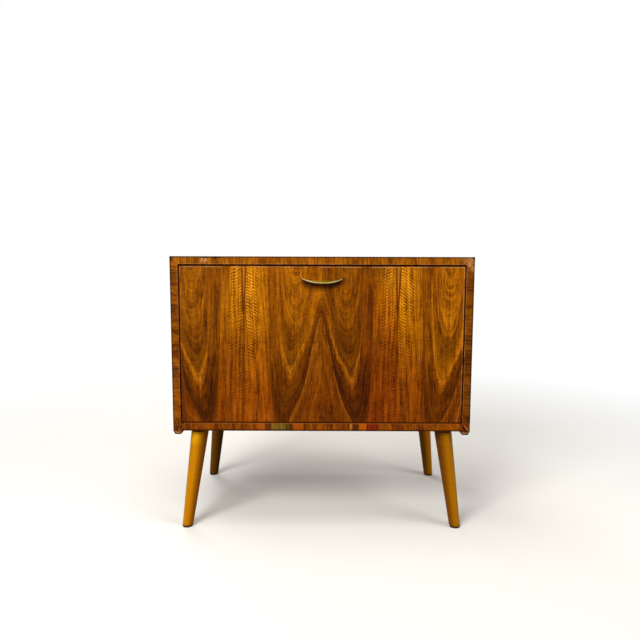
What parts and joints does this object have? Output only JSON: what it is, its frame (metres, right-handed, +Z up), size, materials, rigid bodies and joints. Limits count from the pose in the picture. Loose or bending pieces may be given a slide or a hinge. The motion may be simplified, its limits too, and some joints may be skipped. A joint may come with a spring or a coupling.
{
  "type": "cellarette",
  "caption": "Low walnut-veneered drinks cabinet on splayed tapered legs, with an inset drop-front flap hinged along its bottom edge and a brass bow handle.",
  "frame": {"origin": "on the floor, in the middle of the width and of the depth, handle included", "axes": "+X along the width to the right of a viewer at the front, +Y to the back, +Z up; the flap and its handle face -Y"},
  "size_m": [0.735, 0.391, 0.68],
  "materials": {
    "walnut_veneer": "bookmatched walnut veneer, satin lacquer",
    "edge_veneer": "crossbanded walnut veneer, satin lacquer",
    "rail_wood": "solid walnut, satin lacquer",
    "leg_wood": "turned beech, honey lacquer",
    "core_board": "veneered board, stained edges and inside",
    "lipping_wood": "solid walnut lipping, satin lacquer",
    "inner_veneer": "plain straight-grained veneer, satin lacquer",
    "plywood": "stained plywood",
    "hidden_wood": "bare beech",
    "brass": "aged brass, polished rim",
    "steel": "bright zinc plate",
    "glass": "clear, ground edges",
    "dark_plastic": "matt"
  },
  "bodies": {
    "case": {"top_core": "core_board", "left_side_core": "core_board", "right_side_core": "core_board", "bottom_core": "core_board", "top_veneer": "walnut_veneer", "left_side_veneer": "walnut_veneer", "right_side_veneer": "walnut_veneer", "top_edge_band": "edge_veneer", "left_edge_band": "edge_veneer", "right_edge_band": "edge_veneer", "bottom_edge_band": "edge_veneer", "left_corner_rail": "rail_wood", "right_corner_rail": "rail_wood", "case_dowels": "hidden_wood", "mitre_tongues": "hidden_wood", "back_panel": "plywood", "back_screws": "steel", "divider": "core_board", "glass_shelf": "glass", "shelf_pins": "brass", "left_case_plate": "brass", "right_case_plate": "brass", "hinge_pins": "steel", "case_plate_screws": "brass", "left_stay_bracket": "brass", "right_stay_bracket": "brass", "stay_bracket_screws": "brass", "catch_housing": "dark_plastic", "catch_magnet": "steel", "catch_screws": "steel", "left_front_leg": "leg_wood", "right_front_leg": "leg_wood", "left_rear_leg": "leg_wood", "right_rear_leg": "leg_wood", "leg_plates": "steel", "leg_bolts": "steel", "leg_plate_screws": "steel", "glides": "dark_plastic"},
    "flap": {"flap_core": "core_board", "flap_face_veneer": "walnut_veneer", "flap_inner_veneer": "inner_veneer", "flap_top_lipping": "lipping_wood", "flap_bottom_lipping": "lipping_wood", "left_flap_lipping": "lipping_wood", "right_flap_lipping": "lipping_wood", "handle": "brass", "handle_screws": "steel", "left_flap_plate": "brass", "right_flap_plate": "brass", "flap_plate_screws": "brass", "left_stay_foot": "brass", "right_stay_foot": "brass", "stay_foot_screws": "brass", "strike_plate": "steel", "strike_screws": "steel"},
    "left_rod": {"left_stay_rod": "steel"},
    "right_rod": {"right_stay_rod": "steel"},
    "left_guide": {"left_stay_guide": "brass"},
    "right_guide": {"right_stay_guide": "brass"}
  },
  "joints": [
    {"name": "flap_hinge", "type": "hinge", "parent": "case", "child": "flap", "pos_m": [0, -0.1715, 0.2752], "axis": [1, 0, 0], "range_deg": [0, 90]},
    {"name": "left_rod_pivot", "type": "hinge", "parent": "flap", "child": "left_rod", "pos_m": [-0.3345, -0.1455, 0.45331], "axis": [1, 0, 0], "range_deg": [-45, 0]},
    {"name": "left_guide_swivel", "type": "hinge", "parent": "case", "child": "left_guide", "pos_m": [-0.3345, -0.0815, 0.43108], "axis": [1, 0, 0], "range_deg": [0, 45]},
    {"name": "right_rod_pivot", "type": "hinge", "parent": "flap", "child": "right_rod", "pos_m": [0.3345, -0.1455, 0.45331], "axis": [1, 0, 0], "range_deg": [-45, 0]},
    {"name": "right_guide_swivel", "type": "hinge", "parent": "case", "child": "right_guide", "pos_m": [0.3345, -0.0815, 0.43108], "axis": [1, 0, 0], "range_deg": [0, 45]}
  ],
  "couplings": [
    {"joint": "left_rod_pivot", "follows": "flap_hinge", "ratio": -0.5},
    {"joint": "left_guide_swivel", "follows": "flap_hinge", "ratio": 0.5},
    {"joint": "right_rod_pivot", "follows": "flap_hinge", "ratio": -0.5},
    {"joint": "right_guide_swivel", "follows": "flap_hinge", "ratio": 0.5}
  ]
}
